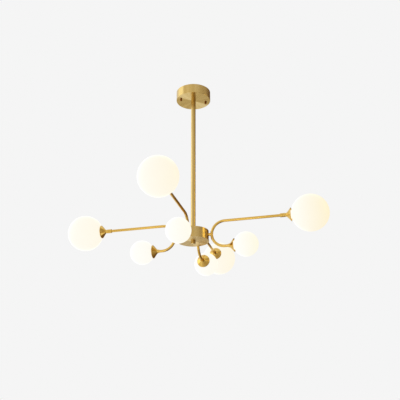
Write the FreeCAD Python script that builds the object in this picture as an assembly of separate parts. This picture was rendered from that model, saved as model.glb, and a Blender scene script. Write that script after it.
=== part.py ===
import FreeCAD, Part
import math
import os

# Branch chandelier: a ceiling canopy, a stem, a drum hub and four C-shaped branch arms with two globes each.
# Millimetres. +Z is up, the origin is the centre of the ceiling plane, and the arms lie along +X, +Y, -X and -Y.
# Each arm is drawn along +X with its stud's axis at height zero, and is then turned and lifted to its place.

# ---- fits and gaps ----
THREAD_GAP = 0.05          # radial, between a thread or a brazed tube and its hole
RUNNING_GAP = 0.05         # radial, between a stud and the hub wall that it turns in
NECK_GAP = 0.08            # radial, between a lampholder's thread and a globe's neck
FREE_GAP = 0.3             # between faces that move past each other
SEAT_GAP = 0.4             # between a lampholder's boss and the flare of its cup
STEP_GAP = 0.05            # between a gasket and the end of the neck that presses on it

# ---- ceiling bracket ----
BRACKET_AZIMUTH = 29.0     # degrees, direction of the strap seen from above
BRACKET_LENGTH = 104.0
BRACKET_WIDTH = 24.0
BRACKET_THICKNESS = 2.0
CEILING_HOLE_CIRCLE = 64.0
CEILING_HOLE_DIAMETER = 5.0
PILLAR_DIAMETER = 8.0
PILLAR_THREAD = 4.0

# ---- canopy ----
CANOPY_DIAMETER = 120.0
CANOPY_HEIGHT = 33.0
CANOPY_WALL = 1.2
CANOPY_FLOOR = 1.5
CANOPY_EDGE = 1.0
CANOPY_HOLE_CIRCLE = 90.0
CANOPY_HOLE_DIAMETER = 6.5

# ---- terminal block on the bracket ----
BLOCK_LENGTH = 16.0
BLOCK_WIDTH = 20.0
BLOCK_HEIGHT = 12.0
BLOCK_OFFSET = 9.0         # from the stem's axis to the face where the supply cable goes in
MAINS_HOLE_DIAMETER = 3.6
MAINS_HOLE_PITCH = 6.0
MAINS_HOLE_DEPTH = 7.0
CABLE_INSERTION = 6.0      # how deep the supply cable sits in the block

# ---- stem, threaded pipes and their nuts ----
STEM_DIAMETER = 16.0
STEM_WALL = 1.5
STEM_LENGTH = 495.0
STEM_PLUG = 14.0           # length of the threaded plug in each end
PIPE_DIAMETER = 10.0
PIPE_BORE = 7.0
PIPE_ENGAGEMENT = 12.0     # length screwed into a plug
NIPPLE_STANDOUT = 11.5     # above the canopy floor
WASHER_DIAMETER = 18.0
WASHER_THICKNESS = 1.0
PIPE_NUT_FLATS = 14.0
CANOPY_NUT_HEIGHT = 5.0
HUB_NUT_HEIGHT = 6.0

# ---- hub ----
HUB_DIAMETER = 102.0
HUB_HEIGHT = 34.0
HUB_WALL = 2.0
HUB_TOP = 2.5
HUB_EDGE = 0.8
COVER_DIAMETER = 104.5
COVER_THICKNESS = 2.0
COVER_EDGE = 0.6
COVER_LIP_HEIGHT = 4.0
COVER_LIP_WALL = 2.0
COVER_LIP_GAP = 0.2
FINIAL_DIAMETER = 15.5
FINIAL_HEIGHT = 9.0
FINIAL_EDGE = 1.2
FINIAL_THREAD_DEPTH = 6.0

# ---- terminal ring in the hub, where the lamp leads join the supply ----
RING_DIAMETER = 54.0
LEAD_PORT_DIAMETER = 7.6
LEAD_PORT_FLOOR = 10.0     # from the stem's axis
SUPPLY_PORT_RADIUS = 14.0
SUPPLY_PORT_AZIMUTH = 45.0
SUPPLY_PORT_DEPTH = 6.0
SUPPLY_DIP = 6.5           # how far the supply cable dips under the ring

# ---- supply cable ----
CABLE_DIAMETER = 4.5
CABLE_GAP = 0.1
CANOPY_CABLE_BEND = 5.0
HUB_CABLE_BEND = 4.0
CABLE_WINDOW_MARGIN = 0.3

# ---- arms ----
ARM_NAMES = ("right", "back", "left", "front")
ARM_AXIS_HEIGHT = 19.5     # the studs' axes, above the underside of the hub cover
TUBE_DIAMETER = 9.0
TUBE_BORE = 7.0
BEND_RADIUS = 43.5
STUD_THREAD = 8.0
STUD_BORE = 6.0
STUD_COLLAR_DIAMETER = 10.0
STUD_COLLAR_LENGTH = 7.0   # from the hub wall to the near side of the tube
STUD_COLLAR_EDGE = 1.4
STUD_SADDLE = 2.5          # how far the collar reaches round the tube
STUD_INNER_LENGTH = 10.5   # from the hub wall's outside to the stud's inner end
STUD_WASHER_DIAMETER = 14.0
STUD_WASHER_THICKNESS = 1.2
STUD_NUT_FLATS = 13.0
STUD_NUT_HEIGHT = 4.5

# ---- lamp heads ----
LARGE_RIM_REACH = 323.5    # from the stem's axis to the rim plane of the large globe's cup
SMALL_RIM_REACH = 137.0
SLEEVE_DIAMETER = 13.0
SLEEVE_LENGTH = 16.0
SLEEVE_EDGE = 0.5
CUP_DIAMETER = 44.0
CUP_BACK_DIAMETER = 12.0
CUP_BACK_LENGTH = 1.4
CUP_WALL = 1.0
CUP_FLARE_ANGLE = 50.0     # degrees from the lamp's axis
CUP_THROAT_RADIUS = 8.0
CUP_LIP_RADIUS = 3.0
HOLDER_BOSS_DIAMETER = 12.4
HOLDER_THREAD = 21.4
HOLDER_NOSE_DIAMETER = 19.0
HOLDER_NOSE_LENGTH = 9.0
HOLDER_NOSE_EDGE = 1.0
HOLDER_LEAD_CAVITY = 3.5
PIN_DIAMETER = 1.2
PIN_HOLE_DIAMETER = 1.5
PIN_SPACING = 9.0
PIN_LENGTH = 7.0
BULB_BASE_LENGTH = 5.0
BULB_BASE_WIDTH = 14.0
BULB_BASE_DEPTH = 8.0
BULB_DIAMETER = 15.0
BULB_BODY_LENGTH = 23.0
BULB_SEAT_GAP = 0.1
GASKET_WIDTH = 1.5
GASKET_THICKNESS = 1.2
LEAD_DIAMETER = 2.0
LEAD_LANE = 1.05           # each lead's distance from the middle of the tube
LEAD_TURN = 1.5            # radius of the turn from the stud into the tube
LEAD_END = 2.5             # how far a lead goes into its lampholder

# ---- globes ----
LARGE_GLOBE_DIAMETER = 120.0
SMALL_GLOBE_DIAMETER = 80.0
LARGE_GLOBE_SINK = 0.0     # how far the globe's pole lies inside the cup's rim plane
SMALL_GLOBE_SINK = 2.0
GLOBE_WALL = 2.2
NECK_WALL = 2.5
THREAD_PITCH = 3.0
THREAD_TURNS = 2.0

# ---- derived places ----
CANOPY_BOTTOM = -CANOPY_HEIGHT
CANOPY_FLOOR_TOP = CANOPY_BOTTOM + CANOPY_FLOOR
STEM_BOTTOM = CANOPY_BOTTOM - STEM_LENGTH
HUB_BOTTOM = STEM_BOTTOM - HUB_HEIGHT
COVER_BOTTOM = HUB_BOTTOM - COVER_THICKNESS
ARM_AXIS = COVER_BOTTOM + ARM_AXIS_HEIGHT
HUB_CEILING = STEM_BOTTOM - HUB_TOP
HUB_RADIUS = HUB_DIAMETER / 2
HUB_INNER_RADIUS = HUB_RADIUS - HUB_WALL
TUBE_RADIUS = TUBE_DIAMETER / 2
BEND_REACH = HUB_RADIUS + STUD_COLLAR_LENGTH + TUBE_RADIUS
BEND_CENTRE = BEND_REACH + BEND_RADIUS
PIPE_HOLE_RADIUS = PIPE_DIAMETER / 2 + THREAD_GAP
RING_TOP = HUB_CEILING - WASHER_THICKNESS - HUB_NUT_HEIGHT
RING_BOTTOM = 2 * ARM_AXIS - RING_TOP
SUPPLY_LOW = RING_BOTTOM - SUPPLY_DIP
BLOCK_TOP = -BRACKET_THICKNESS
CABLE_LEVEL = BLOCK_TOP - BLOCK_HEIGHT / 2
THREAD_TRAVEL = THREAD_PITCH * THREAD_TURNS

UP = FreeCAD.Vector(0, 0, 1)
ALONG_ARM = FreeCAD.Vector(1, 0, 0)
ORIGIN = FreeCAD.Vector(0, 0, 0)


def rod(radius, low, high):
    """A round rod on the stem's axis."""
    return Part.makeCylinder(radius, high - low, FreeCAD.Vector(0, 0, low), UP)


def ring(outer_radius, inner_radius, low, high):
    """A flat ring or a tube on the stem's axis."""
    return rod(outer_radius, low, high).cut(rod(inner_radius, low, high))


def arm_rod(radius, start, end):
    """A round rod along an arm, on the axis of its stud or of a lamp."""
    return Part.makeCylinder(radius, end - start, FreeCAD.Vector(start, 0, 0), ALONG_ARM)


def arm_ring(outer_radius, inner_radius, start, end):
    return arm_rod(outer_radius, start, end).cut(arm_rod(inner_radius, start, end))


def hex_prism(flats, height):
    """A hexagon that stands on the XY plane."""
    corner = flats / math.sqrt(3)
    points = []
    for step in range(7):
        angle = math.radians(60 * step)
        points.append(FreeCAD.Vector(corner * math.cos(angle), corner * math.sin(angle), 0))
    return Part.Face(Part.makePolygon(points)).extrude(FreeCAD.Vector(0, 0, height))


def turned(edges):
    """A solid turned about the X axis from a closed outline in the XY plane."""
    return Part.Face(Part.Wire(edges)).revolve(ORIGIN, ALONG_ARM, 360)


def line(start, end):
    return Part.LineSegment(FreeCAD.Vector(*start), FreeCAD.Vector(*end)).toShape()


def arc(start, middle, end):
    return Part.Arc(FreeCAD.Vector(*start), FreeCAD.Vector(*middle), FreeCAD.Vector(*end)).toShape()


def polar(centre_x, centre_y, radius, degrees):
    """A point in the XY plane, on a circle."""
    angle = math.radians(degrees)
    return (centre_x + radius * math.cos(angle), centre_y + radius * math.sin(angle), 0)


def rounded_route(points, radius):
    """Straight runs between the points, with a tangent arc of one radius at each corner."""
    corners = [FreeCAD.Vector(*point) for point in points]
    edges = []
    start = corners[0]
    for before, corner, after in zip(corners, corners[1:], corners[2:]):
        back = (before - corner).normalize()
        ahead = (after - corner).normalize()
        half_angle = back.getAngle(ahead) / 2
        setback = radius / math.tan(half_angle)
        arc_start = corner + back * setback
        arc_end = corner + ahead * setback
        bisector = (back + ahead).normalize()
        middle = corner + bisector * (radius / math.sin(half_angle) - radius)
        edges.append(Part.LineSegment(start, arc_start).toShape())
        edges.append(Part.Arc(arc_start, middle, arc_end).toShape())
        start = arc_end
    edges.append(Part.LineSegment(start, corners[-1]).toShape())
    return edges


def swept(edges, radius):
    """A round rod along a path of lines and tangent arcs."""
    path = Part.Wire(edges)
    start = edges[0].valueAt(edges[0].FirstParameter)
    direction = edges[0].tangentAt(edges[0].FirstParameter)
    section = Part.Wire(Part.makeCircle(radius, start, direction))
    return path.makePipeShell([section], True, False)


def at_azimuth(shape, degrees):
    turned_shape = shape.copy()
    turned_shape.rotate(ORIGIN, UP, degrees)
    return turned_shape


def lifted(shape, height):
    raised = shape.copy()
    raised.translate(FreeCAD.Vector(0, 0, height))
    return raised


def round_edges(shape, radius, wanted):
    """Fillets the edges whose middle point passes the wanted test."""
    chosen = []
    for edge in shape.Edges:
        middle = edge.CenterOfMass
        if wanted(edge, middle):
            chosen.append(edge)
    return shape.makeFillet(radius, chosen)


def circle_at(height, radius):
    """Picks the full circles of one radius at one height."""
    def wanted(edge, middle):
        near = abs(middle.z - height) < 0.01
        return near and edge.Closed and abs(edge.Length - 2 * math.pi * radius) < 0.01
    return wanted


def arm_circle_at(reach, radius):
    """Picks the full circles of one radius about the X axis, at one reach along it."""
    def wanted(edge, middle):
        near = abs(middle.x - reach) < 0.01
        return near and edge.Closed and abs(edge.Length - 2 * math.pi * radius) < 0.01
    return wanted


def keep(name, solids):
    """Writes one named piece, or a group of separate solids under one name."""
    shape = solids[0] if len(solids) == 1 else Part.makeCompound(solids)
    shape.exportStep("parts/" + name + ".step")


# ---- pieces at the ceiling ----

def ceiling_bracket():
    half = BRACKET_LENGTH / 2
    body = Part.makeBox(BRACKET_LENGTH, BRACKET_WIDTH, BRACKET_THICKNESS,
                        FreeCAD.Vector(-half, -BRACKET_WIDTH / 2, -BRACKET_THICKNESS))
    for side in (-1, 1):
        foot = FreeCAD.Vector(side * CANOPY_HOLE_CIRCLE / 2, 0, CANOPY_FLOOR_TOP)
        pillar = Part.makeCylinder(PILLAR_DIAMETER / 2, -CANOPY_FLOOR_TOP, foot, UP)
        body = body.fuse(pillar)
    for side in (-1, 1):
        foot = FreeCAD.Vector(side * CANOPY_HOLE_CIRCLE / 2, 0, CANOPY_FLOOR_TOP)
        body = body.cut(Part.makeCylinder(PILLAR_THREAD / 2, -CANOPY_FLOOR_TOP, foot, UP))
        hole = FreeCAD.Vector(side * CEILING_HOLE_CIRCLE / 2, 0, -BRACKET_THICKNESS)
        body = body.cut(Part.makeCylinder(CEILING_HOLE_DIAMETER / 2, BRACKET_THICKNESS, hole, UP))
    return at_azimuth(body.removeSplitter(), BRACKET_AZIMUTH)


def canopy():
    outer = CANOPY_DIAMETER / 2
    body = rod(outer, CANOPY_BOTTOM, 0)
    body = round_edges(body, CANOPY_EDGE, circle_at(CANOPY_BOTTOM, outer))
    body = body.cut(rod(outer - CANOPY_WALL, CANOPY_FLOOR_TOP, 0))
    body = body.cut(rod(PIPE_HOLE_RADIUS, CANOPY_BOTTOM, CANOPY_FLOOR_TOP))
    for side in (-1, 1):
        place = FreeCAD.Vector(side * CANOPY_HOLE_CIRCLE / 2, 0, CANOPY_BOTTOM)
        hole = Part.makeCylinder(CANOPY_HOLE_DIAMETER / 2, CANOPY_FLOOR, place, UP)
        body = body.cut(at_azimuth(hole, BRACKET_AZIMUTH))
    return body


def terminal_block():
    near = -BLOCK_OFFSET
    far = near - BLOCK_LENGTH
    body = Part.makeBox(BLOCK_LENGTH, BLOCK_WIDTH, BLOCK_HEIGHT,
                        FreeCAD.Vector(far, -BLOCK_WIDTH / 2, BLOCK_TOP - BLOCK_HEIGHT))
    cable_hole = lifted(arm_rod(CABLE_DIAMETER / 2 + CABLE_GAP, near - CABLE_INSERTION, near), CABLE_LEVEL)
    body = body.cut(cable_hole)
    for step in (-1, 0, 1):
        mains_hole = arm_rod(MAINS_HOLE_DIAMETER / 2, far, far + MAINS_HOLE_DEPTH)
        mains_hole.translate(FreeCAD.Vector(0, step * MAINS_HOLE_PITCH, CABLE_LEVEL))
        body = body.cut(mains_hole)
    return at_azimuth(body, BRACKET_AZIMUTH)


def supply_cable():
    """From the terminal block down the stem, out of the centre pipe's window and up into the ring."""
    side = math.radians(BRACKET_AZIMUTH)
    block_reach = -(BLOCK_OFFSET + CABLE_INSERTION)
    block_end = (block_reach * math.cos(side), block_reach * math.sin(side), CABLE_LEVEL)
    canopy_corner = (0, 0, CABLE_LEVEL)
    middle = (0, 0, (CANOPY_BOTTOM + STEM_BOTTOM) / 2)
    window_corner = (0, 0, SUPPLY_LOW)
    out = math.radians(SUPPLY_PORT_AZIMUTH)
    port_x = SUPPLY_PORT_RADIUS * math.cos(out)
    port_y = SUPPLY_PORT_RADIUS * math.sin(out)
    port_end = RING_BOTTOM + SUPPLY_PORT_DEPTH - CABLE_GAP
    upper = rounded_route([block_end, canopy_corner, middle], CANOPY_CABLE_BEND)
    lower = rounded_route([middle, window_corner, (port_x, port_y, SUPPLY_LOW), (port_x, port_y, port_end)],
                          HUB_CABLE_BEND)
    return swept(upper + lower, CABLE_DIAMETER / 2)


# ---- stem and hub ----

def stem():
    body = rod(STEM_DIAMETER / 2, STEM_BOTTOM, CANOPY_BOTTOM)
    body = body.cut(rod(PIPE_HOLE_RADIUS, STEM_BOTTOM, CANOPY_BOTTOM))
    hollow = rod(STEM_DIAMETER / 2 - STEM_WALL, STEM_BOTTOM + STEM_PLUG, CANOPY_BOTTOM - STEM_PLUG)
    return body.cut(hollow)


def stem_nipple():
    return ring(PIPE_DIAMETER / 2, PIPE_BORE / 2, CANOPY_BOTTOM - PIPE_ENGAGEMENT,
                CANOPY_FLOOR_TOP + NIPPLE_STANDOUT)


def centre_pipe():
    body = ring(PIPE_DIAMETER / 2, PIPE_BORE / 2, COVER_BOTTOM - FINIAL_THREAD_DEPTH,
                STEM_BOTTOM + PIPE_ENGAGEMENT)
    half_width = CABLE_DIAMETER / 2 + CABLE_WINDOW_MARGIN
    low = SUPPLY_LOW - half_width
    high = SUPPLY_LOW + HUB_CABLE_BEND + CABLE_WINDOW_MARGIN
    window = Part.makeBox(PIPE_DIAMETER, 2 * half_width, high - low, FreeCAD.Vector(0, -half_width, low))
    return body.cut(at_azimuth(window, SUPPLY_PORT_AZIMUTH))


def washer(low):
    return ring(WASHER_DIAMETER / 2, PIPE_HOLE_RADIUS, low, low + WASHER_THICKNESS)


def pipe_nut(low, height):
    return lifted(hex_prism(PIPE_NUT_FLATS, height), low).cut(rod(PIPE_HOLE_RADIUS, low, low + height))


def pipe_nuts():
    """The nut and washer on the canopy floor, and those under the hub's top."""
    canopy_washer = washer(CANOPY_FLOOR_TOP)
    canopy_nut = pipe_nut(CANOPY_FLOOR_TOP + WASHER_THICKNESS, CANOPY_NUT_HEIGHT)
    hub_washer = washer(HUB_CEILING - WASHER_THICKNESS)
    hub_nut = pipe_nut(HUB_CEILING - WASHER_THICKNESS - HUB_NUT_HEIGHT, HUB_NUT_HEIGHT)
    return [canopy_washer, canopy_nut, hub_washer, hub_nut]


def hub_body():
    body = rod(HUB_RADIUS, HUB_BOTTOM, STEM_BOTTOM)
    body = round_edges(body, HUB_EDGE, circle_at(STEM_BOTTOM, HUB_RADIUS))
    body = body.cut(rod(HUB_INNER_RADIUS, HUB_BOTTOM, HUB_CEILING))
    body = body.cut(rod(PIPE_HOLE_RADIUS, HUB_CEILING, STEM_BOTTOM))
    for number in range(len(ARM_NAMES)):
        hole = lifted(arm_rod(STUD_THREAD / 2 + RUNNING_GAP, HUB_INNER_RADIUS - HUB_WALL, HUB_RADIUS + HUB_WALL),
                      ARM_AXIS)
        body = body.cut(at_azimuth(hole, arm_azimuth(number)))
    return body


def hub_cover():
    outer = COVER_DIAMETER / 2
    body = rod(outer, COVER_BOTTOM, HUB_BOTTOM)
    body = round_edges(body, COVER_EDGE, circle_at(COVER_BOTTOM, outer))
    lip_outer = HUB_INNER_RADIUS - COVER_LIP_GAP
    body = body.fuse(ring(lip_outer, lip_outer - COVER_LIP_WALL, HUB_BOTTOM, HUB_BOTTOM + COVER_LIP_HEIGHT))
    return body.cut(rod(PIPE_HOLE_RADIUS, COVER_BOTTOM, HUB_BOTTOM)).removeSplitter()


def hub_finial():
    radius = FINIAL_DIAMETER / 2
    low = COVER_BOTTOM - FINIAL_HEIGHT
    body = rod(radius, low, COVER_BOTTOM)
    body = round_edges(body, FINIAL_EDGE, circle_at(low, radius))
    thread_floor = COVER_BOTTOM - FINIAL_THREAD_DEPTH - THREAD_GAP
    return body.cut(rod(PIPE_HOLE_RADIUS, thread_floor, COVER_BOTTOM))


def hub_terminal_ring():
    body = ring(RING_DIAMETER / 2, PIPE_HOLE_RADIUS, RING_BOTTOM, RING_TOP)
    for number in range(len(ARM_NAMES)):
        port = lifted(arm_rod(LEAD_PORT_DIAMETER / 2, LEAD_PORT_FLOOR, RING_DIAMETER / 2), ARM_AXIS)
        body = body.cut(at_azimuth(port, arm_azimuth(number)))
    supply_port = rod(CABLE_DIAMETER / 2 + CABLE_GAP, RING_BOTTOM, RING_BOTTOM + SUPPLY_PORT_DEPTH)
    supply_port.translate(FreeCAD.Vector(SUPPLY_PORT_RADIUS, 0, 0))
    return body.cut(at_azimuth(supply_port, SUPPLY_PORT_AZIMUTH))


# ---- the cup's flare, which the lampholder, the gasket and the globe's neck are set against ----

FLARE = math.radians(CUP_FLARE_ANGLE)
CUP_RADIUS = CUP_DIAMETER / 2
CUP_BACK_RADIUS = CUP_BACK_DIAMETER / 2
FLARE_RISE = CUP_RADIUS - CUP_BACK_RADIUS - (CUP_THROAT_RADIUS + CUP_LIP_RADIUS) * (1 - math.cos(FLARE))
FLARE_LENGTH = (CUP_THROAT_RADIUS + CUP_LIP_RADIUS) * math.sin(FLARE) + FLARE_RISE / math.tan(FLARE)
CUP_BACK = -FLARE_LENGTH - CUP_BACK_LENGTH      # from the rim plane


def flare_points(inset):
    """The flare's outline at a depth under the cup's outside: throat arc, straight run and lip arc."""
    throat = CUP_THROAT_RADIUS + inset
    lip = CUP_LIP_RADIUS - inset
    throat_centre = CUP_BACK_RADIUS + CUP_THROAT_RADIUS
    lip_centre = CUP_RADIUS - CUP_LIP_RADIUS
    return {
        "throat_start": polar(-FLARE_LENGTH, throat_centre, throat, -90),
        "throat_middle": polar(-FLARE_LENGTH, throat_centre, throat, -90 + CUP_FLARE_ANGLE / 2),
        "throat_end": polar(-FLARE_LENGTH, throat_centre, throat, -90 + CUP_FLARE_ANGLE),
        "lip_start": polar(0, lip_centre, lip, 90 + CUP_FLARE_ANGLE),
        "lip_middle": polar(0, lip_centre, lip, 90 + CUP_FLARE_ANGLE / 2),
        "lip_end": polar(0, lip_centre, lip, 90),
    }


def inside_place(radius):
    """Where, from the rim plane, the cup's inside is as wide as this radius."""
    inside = flare_points(CUP_WALL)
    if radius <= inside["throat_end"][1]:
        throat = CUP_THROAT_RADIUS + CUP_WALL
        drop = CUP_BACK_RADIUS + CUP_THROAT_RADIUS - radius
        return -FLARE_LENGTH + math.sqrt(max(throat ** 2 - drop ** 2, 0))
    if radius >= inside["lip_start"][1]:
        lip = CUP_LIP_RADIUS - CUP_WALL
        rise = radius - (CUP_RADIUS - CUP_LIP_RADIUS)
        return -math.sqrt(max(lip ** 2 - rise ** 2, 0))
    return inside["throat_end"][0] + (radius - inside["throat_end"][1]) / math.tan(FLARE)


HOLDER_RADIUS = HOLDER_THREAD / 2
GASKET_INNER_RADIUS = HOLDER_RADIUS + FREE_GAP
GASKET_OUTER_RADIUS = GASKET_INNER_RADIUS + GASKET_WIDTH
BOSS_BACK = inside_place(HOLDER_BOSS_DIAMETER / 2 + SEAT_GAP)
SKIRT_BACK = inside_place(HOLDER_RADIUS + SEAT_GAP)
GASKET_BACK = inside_place(GASKET_OUTER_RADIUS + FREE_GAP)
GASKET_FRONT = GASKET_BACK + GASKET_THICKNESS
NECK_END = GASKET_FRONT + STEP_GAP
NECK_INNER_RADIUS = HOLDER_RADIUS + NECK_GAP
NECK_OUTER_RADIUS = NECK_INNER_RADIUS + NECK_WALL
SKIRT_FRONT = NECK_END + THREAD_TRAVEL
NOSE_FRONT = SKIRT_FRONT + HOLDER_NOSE_LENGTH
TUBE_END = SKIRT_BACK
LEAD_TIP = TUBE_END + LEAD_END


# ---- pieces of one arm, drawn along +X with the stud's axis at height zero ----

def arm_azimuth(number):
    return 360.0 * number / len(ARM_NAMES)


def arm_path():
    """The tube's centre line: short lower leg, half-round bend, long upper leg."""
    return [
        line((SMALL_RIM_REACH + TUBE_END, 0, -BEND_RADIUS), (BEND_CENTRE, 0, -BEND_RADIUS)),
        arc((BEND_CENTRE, 0, -BEND_RADIUS), (BEND_REACH, 0, 0), (BEND_CENTRE, 0, BEND_RADIUS)),
        line((BEND_CENTRE, 0, BEND_RADIUS), (LARGE_RIM_REACH + TUBE_END, 0, BEND_RADIUS)),
    ]


def arm_tube():
    body = swept(arm_path(), TUBE_RADIUS).cut(swept(arm_path(), TUBE_BORE / 2))
    return body.cut(arm_rod(STUD_BORE / 2, HUB_RADIUS, BEND_REACH))


def arm_stud():
    """Threaded through the hub wall, with a round collar outside that is shaped to the tube."""
    collar_start = HUB_RADIUS + FREE_GAP
    collar_end = BEND_REACH - TUBE_RADIUS + STUD_SADDLE
    collar_radius = STUD_COLLAR_DIAMETER / 2
    collar = arm_rod(collar_radius, collar_start, collar_end)
    collar = round_edges(collar, STUD_COLLAR_EDGE, arm_circle_at(collar_start, collar_radius))
    body = arm_rod(STUD_THREAD / 2, HUB_RADIUS - STUD_INNER_LENGTH, BEND_REACH - TUBE_RADIUS).fuse(collar)
    body = body.cut(swept(arm_path()[1:2], TUBE_RADIUS + THREAD_GAP))
    return body.cut(arm_rod(STUD_BORE / 2, HUB_RADIUS - STUD_INNER_LENGTH, collar_end)).removeSplitter()


def stud_nut():
    """A washer and a nut on the stud, inside the hub."""
    rim = STUD_WASHER_DIAMETER / 2
    wall = math.sqrt(HUB_INNER_RADIUS ** 2 - rim ** 2)
    washer_start = wall - FREE_GAP - STUD_WASHER_THICKNESS
    hole = STUD_THREAD / 2 + THREAD_GAP
    spring_washer = arm_ring(rim, hole, washer_start, washer_start + STUD_WASHER_THICKNESS)
    nut = hex_prism(STUD_NUT_FLATS, STUD_NUT_HEIGHT)
    nut.rotate(ORIGIN, FreeCAD.Vector(0, 1, 0), 90)
    nut.translate(FreeCAD.Vector(washer_start - STUD_NUT_HEIGHT, 0, 0))
    nut = nut.cut(arm_rod(hole, washer_start - STUD_NUT_HEIGHT, washer_start))
    return [spring_washer, nut]


def at_large_lamp(shape):
    """From a lamp's own rim plane and axis to the end of the upper leg."""
    placed = shape.copy()
    placed.translate(FreeCAD.Vector(LARGE_RIM_REACH, 0, BEND_RADIUS))
    return placed


def at_small_lamp(shape):
    placed = shape.copy()
    placed.translate(FreeCAD.Vector(SMALL_RIM_REACH, 0, -BEND_RADIUS))
    return placed


def at_both_lamps(shape):
    return [at_large_lamp(shape), at_small_lamp(shape)]


def sleeve():
    body = arm_ring(SLEEVE_DIAMETER / 2, TUBE_RADIUS + THREAD_GAP, CUP_BACK - SLEEVE_LENGTH, CUP_BACK)
    body = round_edges(body, SLEEVE_EDGE, arm_circle_at(CUP_BACK - SLEEVE_LENGTH, SLEEVE_DIAMETER / 2))
    return at_large_lamp(body)


def flare_solid(inset, back_reach, front_reach):
    """The cup's outside, or its inside at a depth, filled to the axis."""
    points = flare_points(inset)
    back = (back_reach, points["throat_start"][1], 0)
    front = (front_reach, points["lip_end"][1], 0)
    edges = [line((back_reach, 0, 0), back)]
    if back_reach < points["throat_start"][0]:
        edges.append(line(back, points["throat_start"]))
    edges.append(arc(points["throat_start"], points["throat_middle"], points["throat_end"]))
    edges.append(line(points["throat_end"], points["lip_start"]))
    edges.append(arc(points["lip_start"], points["lip_middle"], points["lip_end"]))
    if front_reach > points["lip_end"][0]:
        edges.append(line(points["lip_end"], front))
    edges.append(line(front, (front_reach, 0, 0)))
    edges.append(line((front_reach, 0, 0), (back_reach, 0, 0)))
    return turned(edges)


def cup():
    body = flare_solid(0, CUP_BACK, 0).cut(flare_solid(CUP_WALL, -FLARE_LENGTH, CUP_WALL))
    return body.cut(arm_rod(TUBE_RADIUS + THREAD_GAP, CUP_BACK, 0))


def lampholder():
    boss = arm_rod(HOLDER_BOSS_DIAMETER / 2, BOSS_BACK, SKIRT_BACK)
    skirt = arm_rod(HOLDER_RADIUS, SKIRT_BACK, SKIRT_FRONT)
    nose = arm_rod(HOLDER_NOSE_DIAMETER / 2, SKIRT_FRONT, NOSE_FRONT)
    body = boss.fuse(skirt).fuse(nose)
    body = round_edges(body, HOLDER_NOSE_EDGE, arm_circle_at(NOSE_FRONT, HOLDER_NOSE_DIAMETER / 2))
    body = body.cut(arm_rod(TUBE_RADIUS + THREAD_GAP, BOSS_BACK, TUBE_END))
    body = body.cut(arm_rod(TUBE_BORE / 2, TUBE_END, TUBE_END + HOLDER_LEAD_CAVITY))
    for side in (-1, 1):
        pin_hole = arm_rod(PIN_HOLE_DIAMETER / 2, NOSE_FRONT - PIN_LENGTH - BULB_SEAT_GAP, NOSE_FRONT)
        pin_hole.translate(FreeCAD.Vector(0, side * PIN_SPACING / 2, 0))
        body = body.cut(pin_hole)
    return body


def bulb():
    """Two pins, a flat base and a round-ended capsule."""
    seat = NOSE_FRONT + BULB_SEAT_GAP
    capsule_start = seat + BULB_BASE_LENGTH
    capsule_end = capsule_start + BULB_BODY_LENGTH
    radius = BULB_DIAMETER / 2
    body = turned([
        line((capsule_start, 0, 0), (capsule_start, radius, 0)),
        line((capsule_start, radius, 0), (capsule_end, radius, 0)),
        arc((capsule_end, radius, 0), polar(capsule_end, 0, radius, 45), (capsule_end + radius, 0, 0)),
        line((capsule_end + radius, 0, 0), (capsule_start, 0, 0)),
    ])
    base = Part.makeBox(BULB_BASE_LENGTH, BULB_BASE_WIDTH, BULB_BASE_DEPTH,
                        FreeCAD.Vector(seat, -BULB_BASE_WIDTH / 2, -BULB_BASE_DEPTH / 2))
    body = body.fuse(base)
    for side in (-1, 1):
        pin = arm_rod(PIN_DIAMETER / 2, NOSE_FRONT - PIN_LENGTH, seat)
        pin.translate(FreeCAD.Vector(0, side * PIN_SPACING / 2, 0))
        body = body.fuse(pin)
    return body


def lamp_leads():
    """One round lead to each lamp, through the stud, the tube's side hole and the tube."""
    inner_end = LEAD_PORT_FLOOR + LEAD_END
    leads = []
    for direction, reach in ((1, LARGE_RIM_REACH), (-1, SMALL_RIM_REACH)):
        lane = direction * LEAD_LANE
        turn_start = BEND_REACH - LEAD_TURN
        low = -direction * LEAD_TURN
        high = direction * BEND_RADIUS
        diagonal = math.sqrt(0.5)
        turn_middle = (turn_start + LEAD_TURN * diagonal, lane, low * diagonal)
        bend_middle = (BEND_CENTRE - BEND_RADIUS * diagonal, lane, high * diagonal)
        path = [
            line((inner_end, lane, low), (turn_start, lane, low)),
            arc((turn_start, lane, low), turn_middle, (BEND_REACH, lane, 0)),
            arc((BEND_REACH, lane, 0), bend_middle, (BEND_CENTRE, lane, high)),
            line((BEND_CENTRE, lane, high), (reach + LEAD_TIP, lane, high)),
        ]
        leads.append(swept(path, LEAD_DIAMETER / 2))
    return leads


def gasket():
    return arm_ring(GASKET_OUTER_RADIUS, GASKET_INNER_RADIUS, GASKET_BACK, GASKET_FRONT)


def globe(diameter, sink):
    """A blown ball with a threaded neck that reaches back over the lampholder's skirt."""
    outer = diameter / 2
    inner = outer - GLOBE_WALL
    centre = outer - sink
    neck_meets_ball = centre - math.sqrt(outer ** 2 - NECK_OUTER_RADIUS ** 2)
    bore_meets_ball = centre - math.sqrt(inner ** 2 - NECK_INNER_RADIUS ** 2)
    return turned([
        line((NECK_END, NECK_INNER_RADIUS, 0), (NECK_END, NECK_OUTER_RADIUS, 0)),
        line((NECK_END, NECK_OUTER_RADIUS, 0), (neck_meets_ball, NECK_OUTER_RADIUS, 0)),
        arc((neck_meets_ball, NECK_OUTER_RADIUS, 0), polar(centre, 0, outer, 90), (centre + outer, 0, 0)),
        line((centre + outer, 0, 0), (centre + inner, 0, 0)),
        arc((centre + inner, 0, 0), polar(centre, 0, inner, 90), (bore_meets_ball, NECK_INNER_RADIUS, 0)),
        line((bore_meets_ball, NECK_INNER_RADIUS, 0), (NECK_END, NECK_INNER_RADIUS, 0)),
    ])


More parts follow.
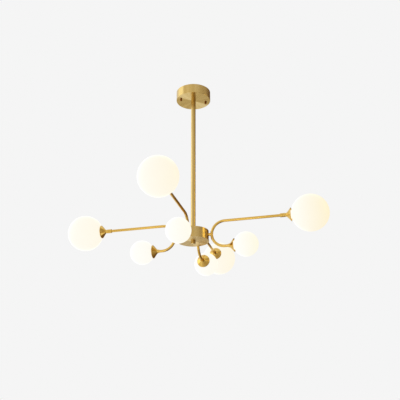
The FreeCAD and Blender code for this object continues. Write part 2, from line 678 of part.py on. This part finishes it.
def arm_pieces():
    """Every piece of one arm, by the part of its name that follows the arm's."""
    return {
        "arm_tube": [arm_tube()],
        "arm_stud": [arm_stud()],
        "stud_nut": stud_nut(),
        "sleeve": [sleeve()],
        "cups": at_both_lamps(cup()),
        "lampholders": at_both_lamps(lampholder()),
        "lamp_leads": lamp_leads(),
        "bulbs": at_both_lamps(bulb()),
        "gasket_large": [at_large_lamp(gasket())],
        "gasket_small": [at_small_lamp(gasket())],
        "globe_large": [at_large_lamp(globe(LARGE_GLOBE_DIAMETER, LARGE_GLOBE_SINK))],
        "globe_small": [at_small_lamp(globe(SMALL_GLOBE_DIAMETER, SMALL_GLOBE_SINK))],
    }


def main():
    os.makedirs("parts", exist_ok=True)
    keep("ceiling_bracket", [ceiling_bracket()])
    keep("canopy", [canopy()])
    keep("terminal_block", [terminal_block()])
    keep("supply_cable", [supply_cable()])
    keep("stem", [stem()])
    keep("stem_nipple", [stem_nipple()])
    keep("centre_pipe", [centre_pipe()])
    keep("pipe_nuts", pipe_nuts())
    keep("hub_body", [hub_body()])
    keep("hub_cover", [hub_cover()])
    keep("hub_finial", [hub_finial()])
    keep("hub_terminal_ring", [hub_terminal_ring()])
    pieces = arm_pieces()
    for number, arm_name in enumerate(ARM_NAMES):
        for piece_name, solids in pieces.items():
            placed = [at_azimuth(lifted(solid, ARM_AXIS), arm_azimuth(number)) for solid in solids]
            keep(arm_name + "_" + piece_name, placed)
    print("stud axis height", ARM_AXIS)
    print("bend centre reach", BEND_CENTRE)
    print("cup depth", round(-CUP_BACK, 3))
    print("lampholder back, skirt back, skirt front, nose front",
          [round(place, 3) for place in (BOSS_BACK, SKIRT_BACK, SKIRT_FRONT, NOSE_FRONT)])
    print("gasket back and outer radius", round(GASKET_BACK, 3), round(GASKET_OUTER_RADIUS, 3))
    print("neck end", round(NECK_END, 3), "thread travel", THREAD_TRAVEL)


main()
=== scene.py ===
import math

import bpy
from mathutils import Matrix, Vector


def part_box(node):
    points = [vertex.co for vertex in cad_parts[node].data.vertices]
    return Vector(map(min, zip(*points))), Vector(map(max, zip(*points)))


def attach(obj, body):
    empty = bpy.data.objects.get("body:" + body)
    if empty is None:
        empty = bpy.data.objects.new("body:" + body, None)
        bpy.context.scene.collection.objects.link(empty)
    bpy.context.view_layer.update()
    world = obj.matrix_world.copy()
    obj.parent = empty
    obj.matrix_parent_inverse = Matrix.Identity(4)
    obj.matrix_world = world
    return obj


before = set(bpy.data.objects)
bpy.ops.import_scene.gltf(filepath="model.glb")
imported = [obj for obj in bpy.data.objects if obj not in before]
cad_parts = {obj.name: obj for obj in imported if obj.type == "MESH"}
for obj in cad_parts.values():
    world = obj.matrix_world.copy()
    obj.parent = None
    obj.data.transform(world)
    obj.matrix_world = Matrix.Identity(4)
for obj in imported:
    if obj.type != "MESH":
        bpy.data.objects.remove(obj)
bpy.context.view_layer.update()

# ---------------------------------------------------------------- driving values, in metres and degrees
# the camera of the photograph
CAMERA_PLACE = Vector((0.5499, -2.0623, -1.3190))
CAMERA_HEADING = 106.12      # direction it looks in, about +Z from +X
CAMERA_PITCH = 22.91         # upwards
CAMERA_ROLL = 0.55
CAMERA_LENS_MM = 62.20
CAMERA_SHIFT = 0.05          # share of the frame's width that the photograph's crop lies to the right
SENSOR_MM = 36.0

# places on the part that the finishes follow
ARM_AXIS_Z = -0.5445         # height of the swivel axes
BEND_CENTRE = 0.106          # reach of the centre of each arm's bend
BEND_RADIUS = 0.0435
LARGE_RIM = 0.3235           # reach of the cup rims
SMALL_RIM = 0.137
LARGE_GLOBE = 0.120          # diameters
SMALL_GLOBE = 0.080
PAINTED_FAN_EDGE = 46.0              # azimuth where the painted highlight fan of a brushed floor starts, and how far it spreads
PAINTED_FAN_WIDTH = 52.0
SCREW_REACH = 0.045          # the two canopy screws, from the stem's axis
SCREW_TURN = 29.0
SCREW_DIAMETER = 0.007
SCREW_HEIGHT = 0.0065
SCREW_SOCKET = 0.0024        # diameter
SCREW_SOCKET_DEPTH = 0.0012
SCREW_CHAMFER = 0.0004       # height over which the head narrows to its seat
SCREW_DOME_STEPS = 8
SCREW_SIDES = 32
SHARP_ANGLE = math.radians(30)

# colours, linear
PALE = (0.913, 0.913, 0.913)
# the worked brasses, each as its dark, middle and light tone
BRUSHED = ((0.50, 0.33, 0.09), (0.67, 0.475, 0.165), (0.80, 0.61, 0.27))
POLISHED = ((0.56, 0.32, 0.05), (0.76, 0.49, 0.11), (0.88, 0.64, 0.23))
ZINC = (0.60, 0.61, 0.62)
BLACKED_STEEL = (0.035, 0.026, 0.018)
WHITE_PLASTIC = (0.80, 0.79, 0.75)
CERAMIC = (0.82, 0.80, 0.74)
# the dark brown of the screw heads below is painted shade
SCREW_PAINTED_SHADE = (0.24, 0.085, 0.014)
OPAL_BODY = (0.15, 0.15, 0.147)
LARGE_GLOW = (0.91, 0.885, 0.81)
# the warm glows below are painted shade on the globes' +X sides
LARGE_PAINTED_SHADE = (0.90, 0.79, 0.53)
SMALL_GLOW = (0.91, 0.90, 0.87)
SMALL_PAINTED_SHADE = (0.90, 0.86, 0.66)
PAINTED_WARM_SHADE = {"right": 1.0, "back": 0.5, "left": 0.3, "front": 0.55}      # share of painted warm shade on the side towards +X

# the studio; the screen's turns are measured from straight behind the camera, positive to its right
FLOOR_Z = -3.2
FLOOR_HALF = 9.0
FLOOR_LIFT = 0.42            # brings the lit floor up to PALE where the camera and the metal see it
WORLD_LIGHT = 0.55
SCREEN_RADIUS = 3.3
SCREEN_TOP = 3.2
SCREEN_STEPS = 48
SCREEN_TOP_FADE = 0.8        # height over which its upper edge thins out
SCREEN_LEFT = 75.0
SCREEN_RIGHT = 178.0
SCREEN_SOFT = 16.0
SCREEN_DARKEST = 128.0
SCREEN_PALE = (0.93, 0.90, 0.87)
SCREEN_DARK = (0.17, 0.105, 0.045)
SCREEN_LOW_Z = -1.3          # below this height it darkens towards the floor
SCREEN_LOW_SHARE = 0.70
APRON_REACH = 0.4            # how near to the object the cloth on the floor comes
HUB = (0, 0, -0.5)           # what the lamps point at
ARMS = ("right", "back", "left", "front")


# ---------------------------------------------------------------- helpers for objects and nodes
def add_object(name, data):
    made = bpy.data.objects.new(name, data)
    bpy.context.scene.collection.objects.link(made)
    return made


def smooth(mesh):
    """Smooth shading across curved faces, and sharp edges where faces meet at a real angle."""
    mesh.shade_smooth()
    mesh.set_sharp_from_angle(angle=SHARP_ANGLE)


def start_material(name):
    """A new material with one Principled shader; returns (material, tree, shader)."""
    made = bpy.data.materials.new(name)
    made.use_nodes = True
    tree = made.node_tree
    tree.nodes.clear()
    output = tree.nodes.new("ShaderNodeOutputMaterial")
    shader = tree.nodes.new("ShaderNodeBsdfPrincipled")
    tree.links.new(shader.outputs["BSDF"], output.inputs["Surface"])
    return made, tree, shader


def feed(tree, socket, value):
    """Links value to the socket if it is another node's output, and else writes it there."""
    if isinstance(value, bpy.types.NodeSocket):
        tree.links.new(value, socket)
    elif hasattr(value, "__len__") and len(value) == 3 and len(socket.default_value) == 4:
        socket.default_value = (*value, 1.0)
    else:
        socket.default_value = value


def calc(tree, operation, *values):
    node = tree.nodes.new("ShaderNodeMath")
    node.operation = operation
    for socket, value in zip(node.inputs, values):
        feed(tree, socket, value)
    return node.outputs[0]


def position(tree):
    """The x, y and z of a surface point in the part's own frame, which moves with its body."""
    place = tree.nodes.new("ShaderNodeTexCoord")
    split = tree.nodes.new("ShaderNodeSeparateXYZ")
    tree.links.new(place.outputs["Object"], split.inputs[0])
    return split.outputs[0], split.outputs[1], split.outputs[2]


def vector(tree, x, y, z):
    node = tree.nodes.new("ShaderNodeCombineXYZ")
    for socket, value in zip(node.inputs, (x, y, z)):
        feed(tree, socket, value)
    return node.outputs[0]


def stretched(tree, place, scales):
    """A place for a noise, with its own scale along each axis."""
    return vector(tree, *[calc(tree, "MULTIPLY", along, scale) for along, scale in zip(place, scales)])


def facing(tree):
    """How far a surface point faces up, from -1 to 1, in the part's own frame."""
    place = tree.nodes.new("ShaderNodeTexCoord")
    split = tree.nodes.new("ShaderNodeSeparateXYZ")
    tree.links.new(place.outputs["Normal"], split.inputs[0])
    return split.outputs[2]


def length(tree, a, b):
    return calc(tree, "SQRT", calc(tree, "ADD", calc(tree, "POWER", a, 2.0), calc(tree, "POWER", b, 2.0)))


def noise(tree, at, scale=1.0, detail=2.0, roughness=0.5):
    node = tree.nodes.new("ShaderNodeTexNoise")
    tree.links.new(at, node.inputs["Vector"])
    node.inputs["Scale"].default_value = scale
    node.inputs["Detail"].default_value = detail
    node.inputs["Roughness"].default_value = roughness
    return node.outputs[0]


def spread(tree, value, low, high, to_low=0.0, to_high=1.0):
    """value from low..high mapped to to_low..to_high, and held there outside."""
    node = tree.nodes.new("ShaderNodeMapRange")
    node.clamp = True
    for socket, number in zip(node.inputs, (value, low, high, to_low, to_high)):
        feed(tree, socket, number)
    return node.outputs[0]


def blend_colour(tree, share, a, b):
    node = tree.nodes.new("ShaderNodeMix")
    node.data_type = "RGBA"
    feed(tree, node.inputs[0], share)
    feed(tree, node.inputs[6], a)
    feed(tree, node.inputs[7], b)
    return node.outputs[2]


def bump(tree, shader, height, distance, strength=1.0):
    node = tree.nodes.new("ShaderNodeBump")
    node.inputs["Strength"].default_value = strength
    node.inputs["Distance"].default_value = distance
    tree.links.new(height, node.inputs["Height"])
    tree.links.new(node.outputs["Normal"], shader.inputs["Normal"])


# ---------------------------------------------------------------- brass
def brass_finish(tree, shader, tones, grain, tone_and_sheen, rough, depth):
    """Colour, roughness and relief of worked brass: grain is the fine tool lines, the next input the slow
    tone, which on the brushed brass also carries painted highlight fans and painted reflection bands.
    """
    tone = calc(tree, "ADD", calc(tree, "MULTIPLY", grain, 0.25), calc(tree, "MULTIPLY", tone_and_sheen, 0.75))
    dark, middle, light = tones
    low = blend_colour(tree, spread(tree, tone, 0.20, 0.50), dark, middle)
    colour = blend_colour(tree, spread(tree, tone, 0.50, 0.80), low, light)
    feed(tree, shader.inputs["Base Color"], colour)
    feed(tree, shader.inputs["Roughness"], spread(tree, grain, 0.25, 0.75, rough - 0.04, rough + 0.06))
    shader.inputs["Metallic"].default_value = 1.0
    bump(tree, shader, grain, depth)


def painted_fan_highlight(tree, around):
    """Painted highlight: the bow tie of light that a floor brushed in rings shows, as two opposite fans,
    brightest along one edge.
    """
    past_edge = calc(tree, "SUBTRACT", around, math.radians(PAINTED_FAN_EDGE))
    turn = calc(tree, "FRACT", calc(tree, "DIVIDE", past_edge, math.pi))
    share = PAINTED_FAN_WIDTH / 180.0
    fading = spread(tree, turn, 0.0, share, 1.0, 0.55)
    inside = spread(tree, turn, share, share + 0.06, 1.0, 0.0)
    rising = spread(tree, turn, 0.96, 1.0, 0.0, 1.0)
    return calc(tree, "MAXIMUM", calc(tree, "MULTIPLY", fading, inside), rising)


def brushed_brass():
    """Brushed round the vertical axis: rings on flat faces and level lines on walls, with painted reflection
    bands round the axis and painted highlight fans on floors.
    """
    made, tree, shader = start_material("brushed_brass")
    x, y, z = position(tree)
    radius = length(tree, x, y)
    around = calc(tree, "ARCTAN2", y, x)
    fine = noise(tree, stretched(tree, (radius, z, around), (2600.0, 2600.0, 2.0)), detail=3.0)
    bands = noise(tree, stretched(tree, (radius, z, around), (260.0, 260.0, 1.3)), detail=2.0)
    grain = calc(tree, "ADD", calc(tree, "MULTIPLY", fine, 0.6), calc(tree, "MULTIPLY", bands, 0.4))
    direction = (calc(tree, "COSINE", around), calc(tree, "SINE", around))
    # random tone round the axis, which also paints reflection bands on the walls and floors
    tone_and_reflection_streaks = noise(tree, stretched(tree, (*direction, 0.0), (3.0, 3.0, 0.0)), detail=4.0)
    level = spread(tree, calc(tree, "ABSOLUTE", facing(tree)), 0.80, 0.95)
    # painted highlight: bright fans on the level floors, laid into the colour
    painted_fan = calc(tree, "MULTIPLY", level, calc(tree, "SUBTRACT", painted_fan_highlight(tree, around), 0.35))
    # slow tone, painted reflection bands and painted highlight fans together
    tone_and_sheen = calc(tree, "ADD", tone_and_reflection_streaks, calc(tree, "MULTIPLY", painted_fan, 0.75))
    brass_finish(tree, shader, BRUSHED, grain, tone_and_sheen, 0.27, 0.00001)
    shader.inputs["Anisotropic"].default_value = 0.65
    shader.inputs["Anisotropic Rotation"].default_value = 0.25
    tangent = tree.nodes.new("ShaderNodeTangent")
    tangent.direction_type = "RADIAL"
    tangent.axis = "Z"
    tree.links.new(tangent.outputs[0], shader.inputs["Tangent"])
    return made


def drawn_lines(tree, across_a, across_b, along):
    """Fine lines and slow tone that run along a drawn tube; the first two places are measured across it."""
    fine = noise(tree, stretched(tree, (across_a, across_b, along), (2400.0, 2400.0, 12.0)), detail=2.0)
    slow = noise(tree, stretched(tree, (across_a, across_b, along), (150.0, 150.0, 5.0)), detail=1.0)
    return fine, slow


def stem_brass():
    """The stem's tube, polished lengthwise."""
    made, tree, shader = start_material("stem_brass")
    x, y, z = position(tree)
    fine, slow = drawn_lines(tree, x, y, z)
    brass_finish(tree, shader, BRUSHED, fine, slow, 0.30, 0.000001)
    return made


def arm_frame(tree, arm):
    """A point's reach along the arm, its place across it, and its height over the swivel axis."""
    x, y, z = position(tree)
    along, across = (x, y) if arm in ("right", "left") else (y, x)
    return calc(tree, "ABSOLUTE", along), across, calc(tree, "SUBTRACT", z, ARM_AXIS_Z)


def drawn_brass(arm):
    """An arm's tube, polished lengthwise: its lines follow the legs and the bend."""
    made, tree, shader = start_material("drawn_brass_" + arm)
    reach, across, height = arm_frame(tree, arm)
    before_bend = calc(tree, "MINIMUM", calc(tree, "SUBTRACT", reach, BEND_CENTRE), 0.0)
    offset = length(tree, before_bend, height)
    fine, slow = drawn_lines(tree, offset, across, reach)
    brass_finish(tree, shader, POLISHED, fine, slow, 0.18, 0.000002)
    return made


def spun_brass(arm, rough):
    """Polished on a lathe about the lamps' axes: fine rings on the cups, the sleeve and the stud."""
    made, tree, shader = start_material(f"spun_brass_{arm}_{round(rough * 100)}")
    reach, across, height = arm_frame(tree, arm)
    upper = length(tree, across, calc(tree, "SUBTRACT", height, BEND_RADIUS))
    lower = length(tree, across, calc(tree, "ADD", height, BEND_RADIUS))
    radius = calc(tree, "MINIMUM", upper, lower)
    fine = noise(tree, stretched(tree, (radius, reach, across), (2400.0, 2400.0, 0.0)), detail=3.0)
    slow = noise(tree, stretched(tree, (radius, reach, across), (240.0, 240.0, 60.0)), detail=2.0)
    brass_finish(tree, shader, POLISHED, fine, slow, rough, 0.000004)
    return made


def shade_dark_screw_brass():
    """Brass of the screws, painted dark brown as shade, with lighter turned rings."""
    made, tree, shader = start_material("shade_dark_screw_brass")
    x, y, z = position(tree)
    rings = noise(tree, stretched(tree, (x, y, z), (90.0, 90.0, 1800.0)), detail=3.0)
    # painted shade: a dark brown base for the screws
    colour = blend_colour(tree, spread(tree, rings, 0.35, 0.70), SCREW_PAINTED_SHADE, [c * 1.5 for c in SCREW_PAINTED_SHADE])
    feed(tree, shader.inputs["Base Color"], colour)
    feed(tree, shader.inputs["Roughness"], spread(tree, rings, 0.3, 0.7, 0.24, 0.36))
    shader.inputs["Metallic"].default_value = 1.0
    bump(tree, shader, rings, 0.00001)
    return made


# ---------------------------------------------------------------- the other materials
def zinc_steel():
    """Bright zinc plate with its faint cloudy grain."""
    made, tree, shader = start_material("zinc_steel")
    at = vector(tree, *position(tree))
    clouds = noise(tree, at, 160.0, 4.0, 0.6)
    feed(tree, shader.inputs["Base Color"], blend_colour(tree, clouds, [c * 0.82 for c in ZINC], ZINC))
    feed(tree, shader.inputs["Roughness"], spread(tree, clouds, 0.3, 0.7, 0.28, 0.42))
    shader.inputs["Metallic"].default_value = 1.0
    bump(tree, shader, clouds, 0.00004)
    return made


def blacked_steel():
    """Steel with a thin brown-black oxide, worn lighter where the clouds of the finish are thin."""
    made, tree, shader = start_material("blacked_steel")
    clouds = noise(tree, vector(tree, *position(tree)), 220.0, 4.0, 0.6)
    worn = spread(tree, clouds, 0.55, 0.75)
    colour = blend_colour(tree, worn, BLACKED_STEEL, [c * 2 for c in BLACKED_STEEL])
    feed(tree, shader.inputs["Base Color"], colour)
    feed(tree, shader.inputs["Roughness"], spread(tree, clouds, 0.3, 0.7, 0.42, 0.58))
    shader.inputs["Metallic"].default_value = 1.0
    bump(tree, shader, clouds, 0.00004)
    return made


def moulded_plastic(name, colour, rough):
    """Matt moulded plastic with a fine spark-eroded grain."""
    made, tree, shader = start_material(name)
    at = vector(tree, *position(tree))
    grain = noise(tree, at, 1800.0, 2.0)
    tint = noise(tree, at, 60.0, 2.0)
    feed(tree, shader.inputs["Base Color"], blend_colour(tree, tint, [c * 0.94 for c in colour], colour))
    shader.inputs["Roughness"].default_value = rough
    bump(tree, shader, grain, 0.00003)
    return made


def lampholder_ceramic():
    """Unglazed white ceramic: chalky, with a few warm specks."""
    made, tree, shader = start_material("lampholder_ceramic")
    at = vector(tree, *position(tree))
    specks = spread(tree, noise(tree, at, 900.0, 3.0, 0.7), 0.62, 0.72)
    feed(tree, shader.inputs["Base Color"], blend_colour(tree, specks, CERAMIC, [c * 0.8 for c in CERAMIC]))
    shader.inputs["Roughness"].default_value = 0.55
    bump(tree, shader, noise(tree, at, 700.0, 3.0), 0.00005)
    return made


def silicone():
    made, tree, shader = start_material("silicone")
    at = vector(tree, *position(tree))
    feed(tree, shader.inputs["Base Color"],
         blend_colour(tree, noise(tree, at, 120.0), (0.66, 0.66, 0.64), (0.74, 0.74, 0.72)))
    shader.inputs["Roughness"].default_value = 0.5
    bump(tree, shader, noise(tree, at, 1500.0), 0.00002)
    return made


def frosted_bulb():
    """The frosted capsule of a lit pin-base bulb."""
    made, tree, shader = start_material("bulb_capsule")
    at = vector(tree, *position(tree))
    frost = noise(tree, at, 1200.0, 3.0)
    feed(tree, shader.inputs["Base Color"], blend_colour(tree, frost, (0.86, 0.84, 0.78), (0.92, 0.90, 0.85)))
    feed(tree, shader.inputs["Roughness"], spread(tree, frost, 0.3, 0.7, 0.30, 0.45))
    shader.inputs["Emission Color"].default_value = (1.0, 0.86, 0.62, 1.0)
    shader.inputs["Emission Strength"].default_value = 2.0
    return made


def opal_glass(arm, rim, diameter, glow, warm):
    """Lit opal glass: satin and evenly glowing, with painted warm shade on its side towards +X."""
    made, tree, shader = start_material(f"opal_glass_{arm}_{round(diameter * 1000)}")
    x, y, z = position(tree)
    at = vector(tree, x, y, z)
    centre = {"right": 1, "left": -1}.get(arm, 0) * (rim + diameter / 2)
    # painted shade: the glow turns warmer and dimmer towards +X
    side = spread(tree, x, centre - 0.3 * diameter, centre + 0.55 * diameter, 0.0, PAINTED_WARM_SHADE[arm])
    wavy = noise(tree, at, 22.0, 2.0)
    share = calc(tree, "ADD", calc(tree, "MULTIPLY", side, 0.9), calc(tree, "MULTIPLY", wavy, 0.1))
    feed(tree, shader.inputs["Base Color"],
         blend_colour(tree, noise(tree, at, 35.0), [c * 0.97 for c in OPAL_BODY], OPAL_BODY))
    feed(tree, shader.inputs["Emission Color"], blend_colour(tree, share, glow, warm))
    shader.inputs["Emission Strength"].default_value = 1.0
    shader.inputs["Roughness"].default_value = 0.30
    shader.inputs["IOR"].default_value = 1.5
    shader.inputs["Specular IOR Level"].default_value = 0.08
    bump(tree, shader, noise(tree, at, 45.0), 0.0001, 0.4)
    return made


def dress(node, material):
    """Gives a CAD node its finish and smooth shading across its curved faces."""
    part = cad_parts[node]
    part.data.materials.clear()
    part.data.materials.append(material)
    smooth(part.data)


def dress_common():
    brushed = brushed_brass()
    steel = zinc_steel()
    plastic = moulded_plastic("white_plastic", WHITE_PLASTIC, 0.45)
    for node in ("canopy", "hub_body", "hub_cover", "hub_finial"):
        dress(node, brushed)
    dress("stem", stem_brass())
    dress("ceiling_bracket", blacked_steel())
    for node in ("stem_nipple", "centre_pipe", "pipe_nuts"):
        dress(node, steel)
    for node in ("terminal_block", "hub_terminal_ring", "supply_cable"):
        dress(node, plastic)
    return steel


def dress_arm(arm, steel):
    turned = spun_brass(arm, 0.17)
    plastic = moulded_plastic("lead_insulation_" + arm, WHITE_PLASTIC, 0.4)
    dress(arm + "_arm_tube", drawn_brass(arm))
    dress(arm + "_cups", spun_brass(arm, 0.12))
    for piece in ("arm_stud", "sleeve"):
        dress(f"{arm}_{piece}", turned)
    dress(arm + "_stud_nut", steel)
    dress(arm + "_lamp_leads", plastic)
    dress(arm + "_globe_large", opal_glass(arm, LARGE_RIM, LARGE_GLOBE, LARGE_GLOW, LARGE_PAINTED_SHADE))
    dress(arm + "_globe_small", opal_glass(arm, SMALL_RIM, SMALL_GLOBE, SMALL_GLOW, SMALL_PAINTED_SHADE))


def dress_all():
    steel = dress_common()
    ceramic = lampholder_ceramic()
    bulb = frosted_bulb()
    rubber = silicone()
    for arm in ARMS:
        dress_arm(arm, steel)
        dress(arm + "_lampholders", ceramic)
        dress(arm + "_bulbs", bulb)
        dress(arm + "_gasket_large", rubber)
        dress(arm + "_gasket_small", rubber)


# ---------------------------------------------------------------- the canopy's screws
def screw_outline():
    """Radius and height over the seat of a domed screw head, from its seat to its socket's floor."""
    radius = SCREW_DIAMETER / 2
    socket = SCREW_SOCKET / 2
    shoulder = SCREW_HEIGHT - 0.35 * radius
    socket_floor = SCREW_HEIGHT - SCREW_SOCKET_DEPTH
    outline = [(radius * 0.92, 0.0), (radius, SCREW_CHAMFER), (radius, shoulder * 0.5), (radius, shoulder)]
    for step in range(1, SCREW_DOME_STEPS):
        turn = math.radians(90.0 * step / SCREW_DOME_STEPS)
        outline.append((radius * math.cos(turn), shoulder + (SCREW_HEIGHT - shoulder) * math.sin(turn)))
        if outline[-1][0] < socket + 0.0003:
            break
    return outline + [(socket, SCREW_HEIGHT), (socket, socket_floor)]


def make_screw(number, finish):
    """One screw head, turned about its axis, head down on the canopy's floor."""
    outline = screw_outline()
    around = SCREW_SIDES
    points = []
    for radius, height in outline:
        for step in range(around):
            turn = 2 * math.pi * step / around
            points.append((radius * math.cos(turn), radius * math.sin(turn), -height))
    faces = []
    for row in range(len(outline) - 1):
        for step in range(around):
            ahead = (step + 1) % around
            faces.append((row * around + step, (row + 1) * around + step,
                          (row + 1) * around + ahead, row * around + ahead))
    last = (len(outline) - 1) * around
    faces.append([last + step for step in range(around)])
    faces.append(list(reversed(range(around))))
    mesh = bpy.data.meshes.new(f"canopy_screw_{number}")
    mesh.from_pydata(points, [], faces)
    mesh.validate()
    mesh.materials.append(finish)
    screw = add_object(f"canopy_screw_{number}", mesh)
    turn = math.radians(SCREW_TURN + 180.0 * number)
    floor_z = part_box("canopy")[0][2]
    screw.location = (SCREW_REACH * math.cos(turn), SCREW_REACH * math.sin(turn), floor_z)
    smooth(mesh)
    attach(screw, "root")


def make_screws():
    finish = shade_dark_screw_brass()
    for number in range(2):
        make_screw(number, finish)


# ---------------------------------------------------------------- the studio
def make_camera():
    data = bpy.data.cameras.new("camera")
    data.sensor_width = SENSOR_MM
    data.lens = CAMERA_LENS_MM
    data.shift_x = CAMERA_SHIFT
    made = add_object("camera", data)
    made.location = CAMERA_PLACE
    heading = Matrix.Rotation(math.radians(CAMERA_HEADING - 90), 3, "Z")
    pitch = Matrix.Rotation(math.radians(90 + CAMERA_PITCH), 3, "X")
    roll = Matrix.Rotation(math.radians(CAMERA_ROLL), 3, "Z")
    made.rotation_euler = (heading @ pitch @ roll).to_euler()
    bpy.context.scene.camera = made


def from_camera(right, forward, up):
    """A place given by metres to the camera's right, ahead of it and above it, level with the floor."""
    heading = math.radians(CAMERA_HEADING)
    ahead = Vector((math.cos(heading), math.sin(heading), 0))
    side = Vector((math.sin(heading), -math.cos(heading), 0))
    return CAMERA_PLACE + side * right + ahead * forward + Vector((0, 0, up))


def soft_box(name, place, target, width, height, watts, colour=(1, 1, 1)):
    data = bpy.data.lights.new(name, "AREA")
    data.shape = "RECTANGLE"
    data.size = width
    data.size_y = height
    data.energy = watts
    data.color = colour
    made = add_object(name, data)
    made.location = place
    made.rotation_euler = (Vector(target) - Vector(place)).to_track_quat("-Z", "Y").to_euler()


def camera_side_rays(tree):
    """1 for what the camera sees directly, in metal or through glass, and 0 for the light on the object."""
    rays = tree.nodes.new("ShaderNodeLightPath")
    direct = calc(tree, "MAXIMUM", rays.outputs["Is Camera Ray"], rays.outputs["Is Glossy Ray"])
    return calc(tree, "MAXIMUM", direct, rays.outputs["Is Transmission Ray"])


def make_floor():
    mesh = bpy.data.meshes.new("floor")
    signs = ((-1, -1), (1, -1), (1, 1), (-1, 1))
    corners = [(FLOOR_HALF * x, FLOOR_HALF * y, FLOOR_Z) for x, y in signs]
    mesh.from_pydata(corners, [], [(0, 1, 2, 3)])
    floor = add_object("floor", mesh)
    made, tree, shader = start_material("studio_floor")
    shader.inputs["Base Color"].default_value = (*PALE, 1.0)
    shader.inputs["Roughness"].default_value = 0.9
    shader.inputs["Emission Color"].default_value = (*PALE, 1.0)
    feed(tree, shader.inputs["Emission Strength"], calc(tree, "MULTIPLY", camera_side_rays(tree), FLOOR_LIFT))
    mesh.materials.append(made)


def make_world():
    """Pale for what the camera, the metal and the glass see, and an even soft light for the rest."""
    world = bpy.data.worlds.new("studio")
    bpy.context.scene.world = world
    world.use_nodes = True
    tree = world.node_tree
    tree.nodes.clear()
    output = tree.nodes.new("ShaderNodeOutputWorld")
    seen = tree.nodes.new("ShaderNodeBackground")
    seen.inputs["Color"].default_value = (*PALE, 1.0)
    seen.inputs["Strength"].default_value = 1.0
    light = tree.nodes.new("ShaderNodeBackground")
    light.inputs["Color"].default_value = (1.0, 1.0, 1.0, 1.0)
    light.inputs["Strength"].default_value = WORLD_LIGHT
    mix = tree.nodes.new("ShaderNodeMixShader")
    tree.links.new(camera_side_rays(tree), mix.inputs[0])
    tree.links.new(light.outputs[0], mix.inputs[1])
    tree.links.new(seen.outputs[0], mix.inputs[2])
    tree.links.new(mix.outputs[0], output.inputs["Surface"])


def screen_material():
    """Cloth that darkens from its left end to SCREEN_DARKEST, and thins out at both ends and its top."""
    made = bpy.data.materials.new("screen_cloth")
    made.use_nodes = True
    tree = made.node_tree
    tree.nodes.clear()
    output = tree.nodes.new("ShaderNodeOutputMaterial")
    x, y, z = position(tree)
    turn = calc(tree, "MULTIPLY", calc(tree, "ARCTAN2", y, x), 180.0 / math.pi)
    share = calc(tree, "POWER", spread(tree, turn, -SCREEN_LEFT, SCREEN_DARKEST), 1.4)
    glow = tree.nodes.new("ShaderNodeEmission")
    cloth = blend_colour(tree, share, SCREEN_PALE, SCREEN_DARK)
    fall = spread(tree, z, FLOOR_Z, SCREEN_LOW_Z, SCREEN_LOW_SHARE, 1.0)
    feed(tree, glow.inputs["Color"], blend_colour(tree, fall, SCREEN_DARK, cloth))
    clear = tree.nodes.new("ShaderNodeBsdfTransparent")
    left = spread(tree, turn, -SCREEN_LEFT, -SCREEN_LEFT + SCREEN_SOFT)
    right = spread(tree, turn, SCREEN_RIGHT - SCREEN_SOFT, SCREEN_RIGHT, 1.0, 0.0)
    top = spread(tree, z, SCREEN_TOP - SCREEN_TOP_FADE, SCREEN_TOP, 1.0, 0.0)
    solid = calc(tree, "MULTIPLY", calc(tree, "MULTIPLY", left, right), top)
    mix = tree.nodes.new("ShaderNodeMixShader")
    tree.links.new(solid, mix.inputs[0])
    tree.links.new(clear.outputs[0], mix.inputs[1])
    tree.links.new(glow.outputs[0], mix.inputs[2])
    tree.links.new(mix.outputs[0], output.inputs["Surface"])
    return made


def make_screen():
    """A curved screen round the camera's side with an apron on the floor, which only reflections see.

    It gives the brass its darker side.
    """
    steps = SCREEN_STEPS
    width = SCREEN_LEFT + SCREEN_RIGHT
    turns = [math.radians(-SCREEN_LEFT + width * i / steps) for i in range(steps + 1)]
    points = []
    foot = FLOOR_Z + 0.01
    for reach, height in ((APRON_REACH, foot), (SCREEN_RADIUS, foot), (SCREEN_RADIUS, SCREEN_TOP)):
        points += [(reach * math.cos(t), reach * math.sin(t), height) for t in turns]
    row = steps + 1
    faces = [(start + i, start + i + 1, start + row + i + 1, start + row + i)
             for start in (0, row) for i in range(steps)]
    mesh = bpy.data.meshes.new("screen")
    mesh.from_pydata(points, [], faces)
    screen = add_object("screen", mesh)
    screen.rotation_euler = (0, 0, math.radians(CAMERA_HEADING + 180))
    screen.visible_camera = False
    screen.visible_diffuse = False
    screen.visible_shadow = False
    mesh.materials.append(screen_material())


def make_studio():
    make_floor()
    make_world()
    make_screen()
    soft_box("key", from_camera(-2.2, 2.4, 1.5), HUB, 1.8, 2.4, 13, (0.78, 0.88, 1.0))
    soft_box("low", from_camera(-0.9, 0.5, -0.6), HUB, 1.0, 1.0, 4)
    soft_box("warm", from_camera(1.2, 2.0, 1.2), HUB, 0.32, 0.6, 1.5, (1.0, 0.76, 0.14))


dress_all()
make_screws()
make_camera()
make_studio()
bpy.context.scene.view_settings.view_transform = "Standard"
